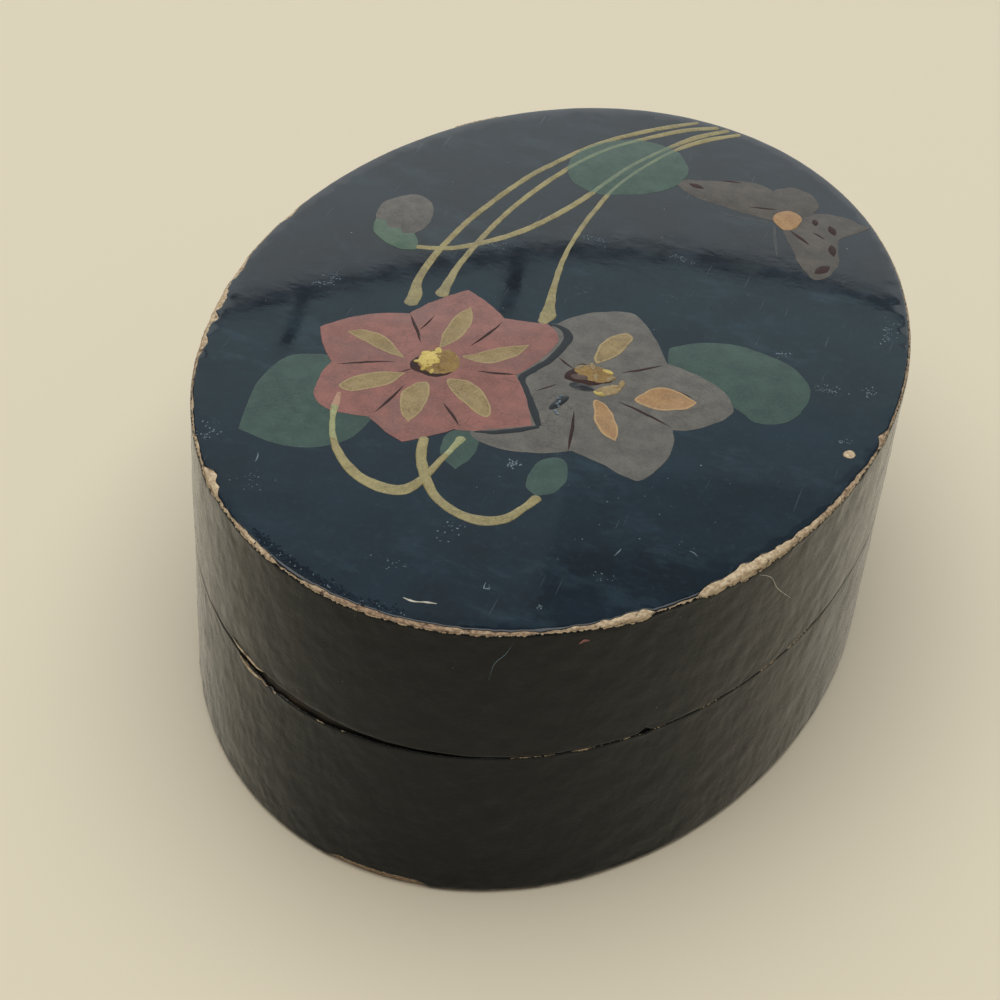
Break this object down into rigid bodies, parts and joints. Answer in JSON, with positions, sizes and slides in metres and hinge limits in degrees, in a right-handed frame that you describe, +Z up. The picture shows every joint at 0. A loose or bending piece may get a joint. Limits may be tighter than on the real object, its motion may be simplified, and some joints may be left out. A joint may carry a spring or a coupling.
{
  "type": "oval trinket box",
  "caption": "Oval lacquered papier-mache box: a shallow base with an inner collar, and a lift-off lid with flowers on its top.",
  "frame": {"origin": "centre of the oval's outline, on the surface that the box stands on", "axes": "+Z up, +Y along the oval's long axis towards the top of the lid's picture, +X across it to the right"},
  "size_m": [0.073, 0.104, 0.0342],
  "materials": {
    "top_lacquer": "glossy lacquer",
    "side_lacquer": "satin lacquer",
    "inside_lacquer": "matte lacquer",
    "bare_paper": "matte",
    "pressed_board": "matte",
    "underside_paper": "matte"
  },
  "bodies": {
    "base": {"base_wall": "bare_paper", "base_bottom_board": "pressed_board", "base_underside_paper": "underside_paper", "base_cover": "side_lacquer", "inner_collar": "inside_lacquer"},
    "lid": {"lid_wall": "inside_lacquer", "lid_cover": "side_lacquer", "lid_top_board": "pressed_board", "lid_top_facing": "top_lacquer"}
  },
  "joints": [
    {"name": "lid_lift", "type": "slide", "parent": "base", "child": "lid", "axis": [0, 0, 1], "range_m": [0, 0.06]}
  ]
}
